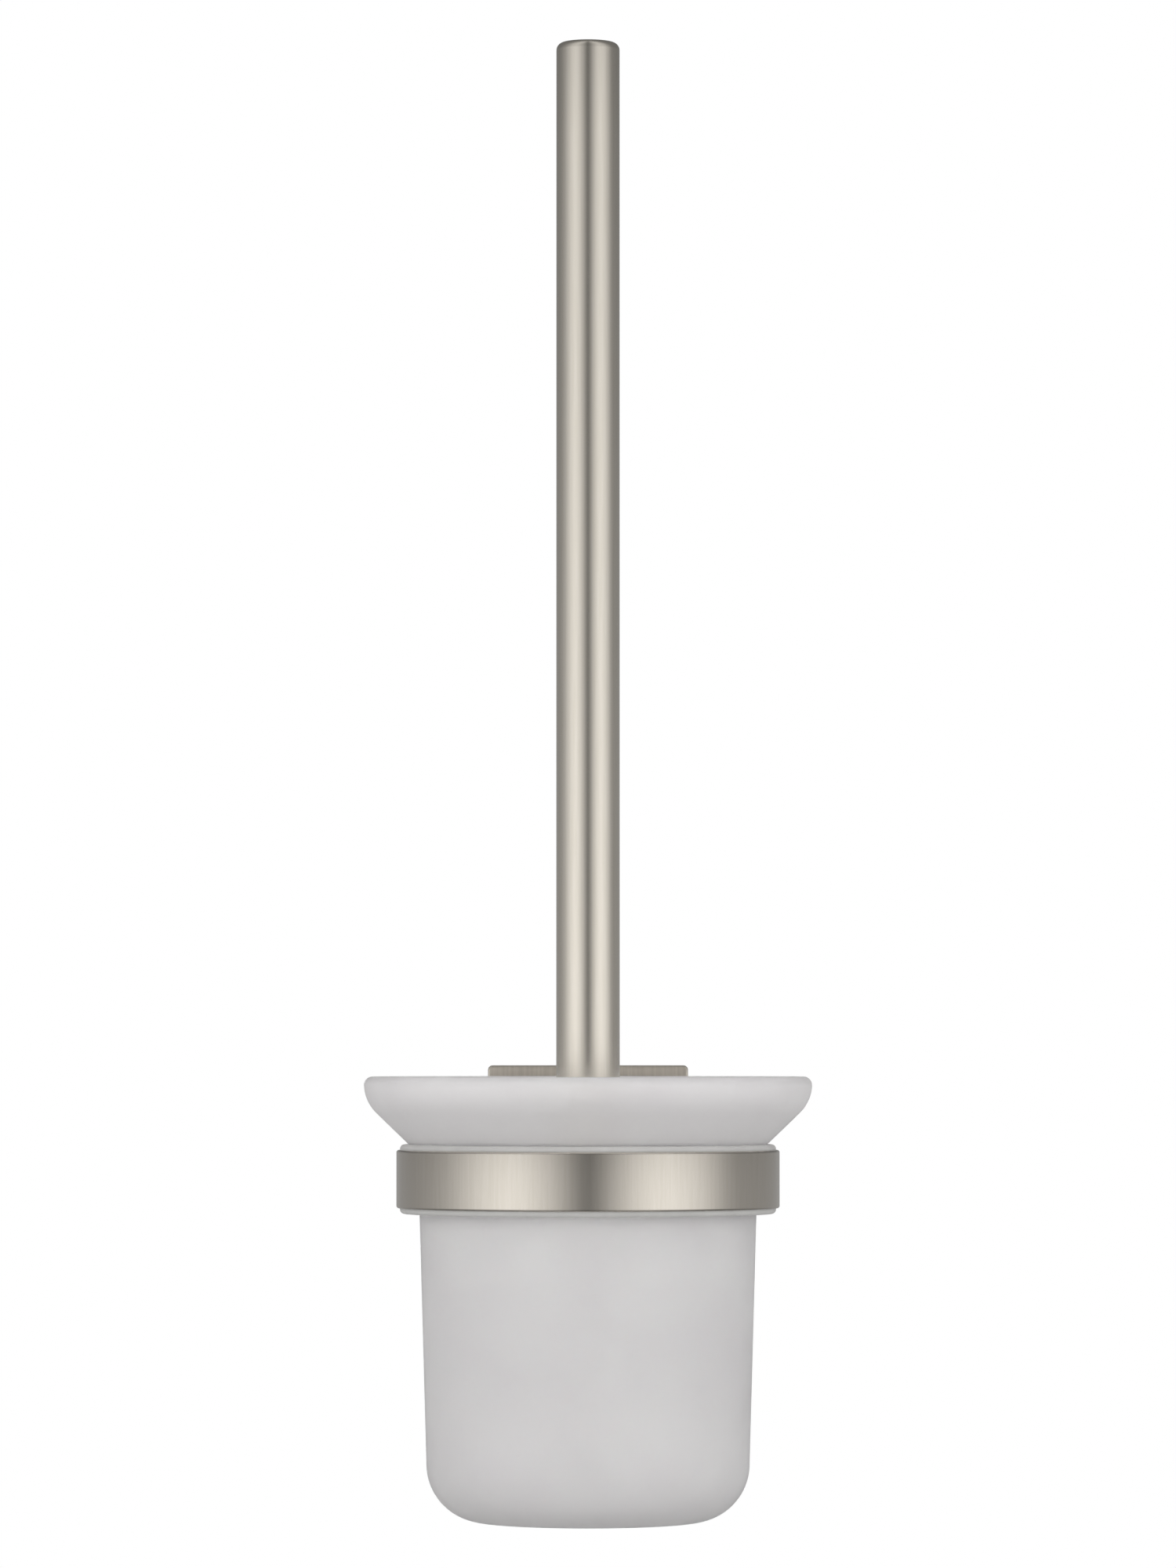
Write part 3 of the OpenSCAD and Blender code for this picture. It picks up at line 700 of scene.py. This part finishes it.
def bristle_tree():
    """Geometry nodes: grows one tuft of filaments from each point of a mesh.

    Each point carries "along", the vector from the tuft's root to its tip.
    """
    tree, given = new_geometry_tree("bristles", (
        ("Roots", "Geometry"), ("Filaments", "Int"), ("Seed", "Int"),
        ("Filament Radius", "Float"), ("Tuft Radius", "Float"), ("Splay", "Float"),
        ("Wave", "Float"), ("Material", "Material")))

    points = add(tree, "GeometryNodeMeshToPoints", inputs={"Mesh": given["Roots"]})
    many = add(tree, "GeometryNodeDuplicateElements", {"domain": "POINT"}, {
        "Geometry": points, "Amount": given["Filaments"]})
    number = many.outputs["Duplicate Index"]
    along = add(tree, "GeometryNodeInputNamedAttribute", {"data_type": "FLOAT_VECTOR"},
                {"Name": "along"})

    # filaments fill the tuft's round hole in a sunflower pattern, by the golden angle
    counted = add(tree, MATHS, {"operation": "ADD"}, {0: number, 1: 0.5})
    share = add(tree, MATHS, {"operation": "DIVIDE"}, {0: counted, 1: given["Filaments"]})
    root = add(tree, MATHS, {"operation": "POWER"}, {0: share, 1: 0.5})
    radius = add(tree, MATHS, {"operation": "MULTIPLY"}, {0: root, 1: given["Tuft Radius"]})
    angle = add(tree, MATHS, {"operation": "MULTIPLY"}, {0: number, 1: math.radians(137.5)})
    cosine = add(tree, MATHS, {"operation": "COSINE"}, {0: angle})
    sine = add(tree, MATHS, {"operation": "SINE"}, {0: angle})
    x = add(tree, MATHS, {"operation": "MULTIPLY"}, {0: radius, 1: cosine})
    y = add(tree, MATHS, {"operation": "MULTIPLY"}, {0: radius, 1: sine})
    disc = add(tree, "ShaderNodeCombineXYZ", inputs={"X": x, "Y": y})
    turn = add(tree, "FunctionNodeAlignRotationToVector", {"axis": "Z"}, {"Vector": along})
    sideways = add(tree, "FunctionNodeRotateVector", inputs={"Vector": disc, "Rotation": turn})
    placed = add(tree, "GeometryNodeSetPosition", inputs={"Geometry": many, "Offset": sideways})

    # they spread a little towards the tip, and aren't trimmed quite alike
    spread = add(tree, VECTOR_MATHS, {"operation": "SCALE"}, {
        0: sideways, "Scale": given["Splay"]})
    aim = add(tree, VECTOR_MATHS, {"operation": "ADD"}, {0: along, 1: spread})
    lean = add(tree, "FunctionNodeAlignRotationToVector", {"axis": "Z"}, {"Vector": aim})
    length = add(tree, VECTOR_MATHS, {"operation": "LENGTH"}, {0: along}).outputs["Value"]
    trim_seed = add(tree, MATHS, {"operation": "ADD"}, {0: given["Seed"], 1: 1})
    trim = add(tree, "FunctionNodeRandomValue", {"data_type": "FLOAT"}, {
        2: 0.965, 3: 1.0, "Seed": trim_seed}).outputs[1]
    trimmed = add(tree, MATHS, {"operation": "MULTIPLY"}, {0: length, 1: trim})

    # one filament, 1 m long, whose length is scaled at each point
    line = add(tree, "GeometryNodeCurvePrimitiveLine", inputs={"End": (0, 0, 1)})
    fine = add(tree, "GeometryNodeResampleCurve", inputs={"Curve": line, "Count": 6})
    section = add(tree, "GeometryNodeCurvePrimitiveCircle", inputs={
        "Resolution": 5, "Radius": given["Filament Radius"]})
    filament = add(tree, "GeometryNodeCurveToMesh", inputs={
        "Curve": fine, "Profile Curve": section, "Fill Caps": True})
    where = add(tree, "ShaderNodeSeparateXYZ", inputs={
        0: add(tree, "GeometryNodeInputPosition")})
    store = add(tree, "GeometryNodeStoreNamedAttribute",
                {"data_type": "FLOAT", "domain": "POINT"},
                {"Geometry": filament, "Name": "height", "Value": where.outputs["Z"]})
    size = add(tree, "ShaderNodeCombineXYZ", inputs={"X": 1.0, "Y": 1.0, "Z": trimmed})
    grown = add(tree, "GeometryNodeInstanceOnPoints", inputs={
        "Points": placed, "Instance": store, "Rotation": lean, "Scale": size})
    which_seed = add(tree, MATHS, {"operation": "ADD"}, {0: given["Seed"], 1: 2})
    which = add(tree, "FunctionNodeRandomValue", {"data_type": "FLOAT"}, {
        2: 0.0, 3: 50.0, "Seed": which_seed}).outputs[1]
    mark = add(tree, "GeometryNodeStoreNamedAttribute",
               {"data_type": "FLOAT", "domain": "INSTANCE"},
               {"Geometry": grown, "Name": "which", "Value": which})
    real = add(tree, "GeometryNodeRealizeInstances", inputs={0: mark})

    # a free filament waves a little, more towards its tip
    height, own = [add(tree, "GeometryNodeInputNamedAttribute", {"data_type": "FLOAT"},
                       {"Name": name}) for name in ("height", "which")]
    climb = add(tree, MATHS, {"operation": "MULTIPLY"}, {0: height, 1: 0.9})
    ripple = add(tree, "ShaderNodeCombineXYZ", inputs={"X": own, "Y": climb, "Z": 0.0})
    wander = add(tree, NOISE, {"noise_dimensions": "3D"}, {
        "Vector": ripple, "Scale": 1.0, "Detail": 1.0}).outputs["Color"]
    centred = add(tree, VECTOR_MATHS, {"operation": "SUBTRACT"}, {0: wander, 1: (0.5, 0.5, 0.5)})
    squared = add(tree, MATHS, {"operation": "MULTIPLY"}, {0: height, 1: height})
    amount = add(tree, MATHS, {"operation": "MULTIPLY"}, {0: squared, 1: given["Wave"]})
    offset = add(tree, VECTOR_MATHS, {"operation": "SCALE"}, {0: centred, "Scale": amount})
    bent = add(tree, "GeometryNodeSetPosition", inputs={"Geometry": real, "Offset": offset})
    painted = add(tree, "GeometryNodeSetMaterial", inputs={
        "Geometry": bent, "Material": given["Material"]})
    add(tree, "NodeGroupOutput", inputs={0: painted})
    return tree


def tuft_roots(name, tufts):
    """A mesh of loose points, one at each tuft's root, with the vector to its tip in "along"."""
    mesh = bpy.data.meshes.new(name)
    mesh.from_pydata([AXIS + root * MM for root, tip in tufts], [], [])
    along = mesh.attributes.new("along", "FLOAT_VECTOR", "POINT")
    for i, (root, tip) in enumerate(tufts):
        along.data[i].vector = (tip - root) * MM
    return piece_from(name, mesh)


def polar(radius, degrees, height):
    """A point about the axis, in mm."""
    angle = math.radians(degrees)
    return Vector((radius * math.cos(angle), radius * math.sin(angle), height))


def side_tufts():
    """Rows of tufts that point straight out, every other row turned by half a step."""
    pitch = (FIRST_ROW_Z - LAST_ROW_Z) / (TUFT_ROWS - 1)
    step = 360 / TUFTS_PER_ROW
    tufts = []
    for row in range(TUFT_ROWS):
        for i in range(TUFTS_PER_ROW):
            turn = BRUSH_TURN + (i + (row % 2) / 2) * step
            height = FIRST_ROW_Z - row * pitch
            tufts.append((polar(HUB_R - TUFT_SUNK, turn, height),
                          polar(BRISTLE_R - TUFT_SHORT, turn, height)))
    return tufts


def tip_tufts():
    """Tufts on the rounded end of the core, trimmed just above the floor of the cup."""
    lowest = CUP_FLOOR_Z + FLOOR_CLEARANCE
    start_r, start_z = HUB_R - HUB_ROUND, HUB_END + HUB_ROUND
    root = HUB_ROUND - TUFT_SUNK
    tufts = []
    for count, first, slope in TIP_RINGS:
        fall, out = math.sin(math.radians(slope)), math.cos(math.radians(slope))
        length = (start_z - lowest - TUFT_ROOT_R * out) / fall
        for i in range(count):
            turn = BRUSH_TURN + first + i * 360 / count
            tufts.append((polar(start_r + root * out, turn, start_z - root * fall),
                          polar(start_r + length * out, turn, start_z - length * fall)))
    tufts.append((Vector((0, 0, HUB_END + TUFT_SUNK)), Vector((0, 0, lowest - TUFT_ROOT_R / 2))))
    return tufts


def make_bristles():
    """The side tufts and the tip tufts, as two pieces grown by one tree."""
    nylon = nylon_filament()
    tree = bristle_tree()
    for name, tufts, node_name, seed in (("side_tufts", side_tufts(), "side_bristles", 11),
                                         ("tip_tufts", tip_tufts(), "tip_bristles", 23)):
        piece = tuft_roots(name, tufts)
        run_nodes(piece, tree, {
            "Filaments": 26, "Seed": seed, "Filament Radius": 0.2 * MM,
            "Tuft Radius": TUFT_ROOT_R * MM, "Splay": 1.3, "Wave": 1.6 * MM,
            "Material": nylon})
        for spare in ("height", "which"):
            if spare in piece.data.attributes:
                piece.data.attributes.remove(piece.data.attributes[spare])
        finish_piece(piece, "brush_head", [node_name], nylon)


def make_washer():
    """The rubber washer between the handle and the brush head."""
    low, high = WASHER_LOW + WASHER_ROUND, WASHER_TOP - WASHER_ROUND
    inner, outer = WASHER_BORE_R + WASHER_ROUND, WASHER_R - WASHER_ROUND
    outline = (arc((inner, low), WASHER_ROUND, 180, 270, 4)
               + arc((outer, low), WASHER_ROUND, -90, 0, 4)
               + arc((outer, high), WASHER_ROUND, 0, 90, 4)
               + arc((inner, high), WASHER_ROUND, 90, 180, 4))
    washer = turned("rubber_washer", outline, 96)
    finish_piece(washer, "seal", ["seal_washer"], moulded_rubber())


# ------------------------------------------------------------------ CAD pieces that stay

def paint_cad_pieces():
    """Materials for the pieces whose CAD shape is already the whole shape."""
    rose_low, rose_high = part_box("wall_rose")
    rose_centre = (rose_low + rose_high) / 2
    repaint("wall_rose", satin_nickel("satin_nickel_rose", rose_centre, (1, 1, 0.03),
                                      grain=(0.38, 0.48), light="#cdc6bb", dark="#bcb5aa",
                                      turn="Z", draw=0))
    repaint("arm", satin_nickel("satin_nickel_arm", (0, 0, 0), (0.04, 1, 0.04)))
    repaint("wall_bracket", zinc_plated_sheet())
    fasteners = turned_metal("stainless_screw_steel", (0, 0, 0), "#a2a19d", "#85847f", axis="Y")
    for name in ("arm_screw", "arm_pin", "rose_grub_screw"):
        repaint(name, fasteners)
    repaint("handle_bush", turned_metal("turned_brass", AXIS, "#d2b468", "#b8954a"))


# ------------------------------------------------------------------ camera and light

# The camera stands nearly two metres in front of the wall, a little above the ring's height.
CAMERA_PLACE = (0, -1.917, 0.03014)
LOOK_AT_HEIGHT = 0.09944
LENS = 168.5
FLOOR_RADIUS = 2.9
FLOOR_HEIGHT = -0.35

# Brightness of the studio in the metal, by compass angle from straight in front of the object,
# positive to the right. Two tall soft boxes stand at 50 degrees, with a dark gap between.
BOXES_ROUND = [(-180, 0.4), (-152, 0.38), (-130, 0.4), (-110, 0.5), (-94, 0.67),
               (-80, 0.97), (-66, 1.3), (-50, 1.55), (-40, 1.5), (-30, 1.25), (-20, 0.95),
               (-12, 0.64), (-6, 0.41), (0, 0.22), (6, 0.41), (12, 0.64), (20, 0.95), (30, 1.3),
               (40, 1.5), (50, 1.55), (66, 1.3), (80, 0.93), (92, 0.58), (104, 0.44), (130, 0.4),
               (152, 0.38), (180, 0.4)]
# Brightness of the boxes by height above the horizon, as a share of the most.
BOXES_UP = [(-90, 0.25), (-60, 0.3), (-30, 0.6), (-12, 0.95), (-2, 1.0), (2, 0.95), (5, 0.77),
            (8, 0.58), (12, 0.5), (90, 0.5)]
# Brightness of the pale room that lights matt surfaces, in the same two ways. The wall behind
# the object is its darkest side.
ROOM_ROUND = [(-180, 0.6), (-135, 0.72), (-90, 1.05), (-50, 1.25), (0, 1.34), (50, 1.25),
              (90, 1.05), (135, 0.72), (180, 0.6)]
ROOM_UP = [(-90, 0.35), (-40, 0.55), (-10, 1.0), (0, 1.0), (15, 1.0), (40, 0.8), (90, 0.62)]
# By compass angle again, for light that has come through the glass, stronger from the front
# so that the brush in the cup is lit. By height it follows the room.
INSIDE_ROUND = [(-180, 0.35), (-135, 0.7), (-90, 2.2), (-50, 3.6), (0, 4.4), (50, 3.5),
                (90, 2.0), (135, 0.6), (180, 0.35)]
# The most that each of the three gives.
BOXES_MOST = 1.6
ROOM_MOST = 1.4
INSIDE_MOST = 4.4


def make_camera():
    """The camera, square to the wall and looking up slightly."""
    camera = bpy.data.objects.new("camera", bpy.data.cameras.new("camera"))
    bpy.context.scene.collection.objects.link(camera)
    camera.location = CAMERA_PLACE
    direction = Vector((0, AXIS.y, LOOK_AT_HEIGHT)) - camera.location
    camera.rotation_euler = direction.to_track_quat("-Z", "Y").to_euler()
    camera.data.sensor_width = 36
    camera.data.lens = LENS
    camera.data.clip_start = 0.05
    camera.data.clip_end = 50
    bpy.context.scene.camera = camera


def brightness_at(tree, angle, table, low, high, most):
    """Reads a table of brightness over degrees at an angle, as a share of the most it may be."""
    factor = add(tree, "ShaderNodeMapRange", inputs={
        "Value": angle, "From Min": math.radians(low), "From Max": math.radians(high)})
    ramp = add(tree, "ShaderNodeValToRGB", inputs={"Fac": factor})
    elements = ramp.color_ramp.elements
    for i, (degrees, value) in enumerate(table):
        position = (degrees - low) / (high - low)
        element = elements[i] if i < 2 else elements.new(position)
        element.position = position
        element.color = [value / most] * 3 + [1]
    return ramp


def surround(tree, round_angle, up_angle, round_table, up_table, most):
    """A background whose brightness is a table by compass angle times one by height."""
    sideways = brightness_at(tree, round_angle, round_table, -180, 180, most)
    upwards = brightness_at(tree, up_angle, up_table, -90, 90, 1.0)
    both = add(tree, VECTOR_MATHS, {"operation": "MULTIPLY"}, {0: sideways, 1: upwards})
    return add(tree, "ShaderNodeBackground", inputs={"Color": both, "Strength": most})


def make_studio():
    """A white backdrop, soft boxes that show in the metal, and a pale room round it all."""
    world = bpy.data.worlds.new("soft_studio")
    bpy.context.scene.world = world
    world.use_nodes = True
    tree = world.node_tree
    tree.nodes.clear()
    look = add(tree, "ShaderNodeTexCoord").outputs["Generated"]
    way = add(tree, "ShaderNodeSeparateXYZ", inputs={0: look}).outputs
    to_front = add(tree, MATHS, {"operation": "MULTIPLY"}, {0: way["Y"], 1: -1.0})
    round_angle = add(tree, MATHS, {"operation": "ARCTAN2"}, {0: way["X"], 1: to_front})
    up_angle = add(tree, MATHS, {"operation": "ARCSINE"}, {0: way["Z"]})
    boxes = surround(tree, round_angle, up_angle, BOXES_ROUND, BOXES_UP, BOXES_MOST)
    room = surround(tree, round_angle, up_angle, ROOM_ROUND, ROOM_UP, ROOM_MOST)
    inside = surround(tree, round_angle, up_angle, INSIDE_ROUND, ROOM_UP, INSIDE_MOST)
    backdrop = add(tree, "ShaderNodeBackground", inputs={"Color": (1, 1, 1, 1), "Strength": 1.0})
    path = add(tree, "ShaderNodeLightPath").outputs
    seen = room
    for kind, background in (("Is Glossy Ray", boxes), ("Is Transmission Ray", inside),
                             ("Is Camera Ray", backdrop)):
        seen = add(tree, "ShaderNodeMixShader", inputs={0: path[kind], 1: seen, 2: background})
    add(tree, "ShaderNodeOutputWorld", inputs={"Surface": seen})
    bpy.context.scene.view_settings.view_transform = "Standard"


def make_floor():
    """A pale studio floor under the hanging object, at the height of a real one."""
    mesh = bpy.data.meshes.new("floor")
    bm = bmesh.new()
    bmesh.ops.create_circle(bm, cap_ends=True, segments=96, radius=FLOOR_RADIUS)
    bm.to_mesh(mesh)
    bm.free()
    mesh.transform(Matrix.Translation((0, AXIS.y, FLOOR_HEIGHT)))
    mesh.materials.append(floor_paint())
    floor = piece_from("studio_floor", mesh)
    floor.visible_glossy = False


make_camera()
make_studio()
make_floor()
make_cup()
make_ring()
make_sleeve()
make_handle()
make_stud()
make_hub()
make_bristles()
make_washer()
paint_cad_pieces()
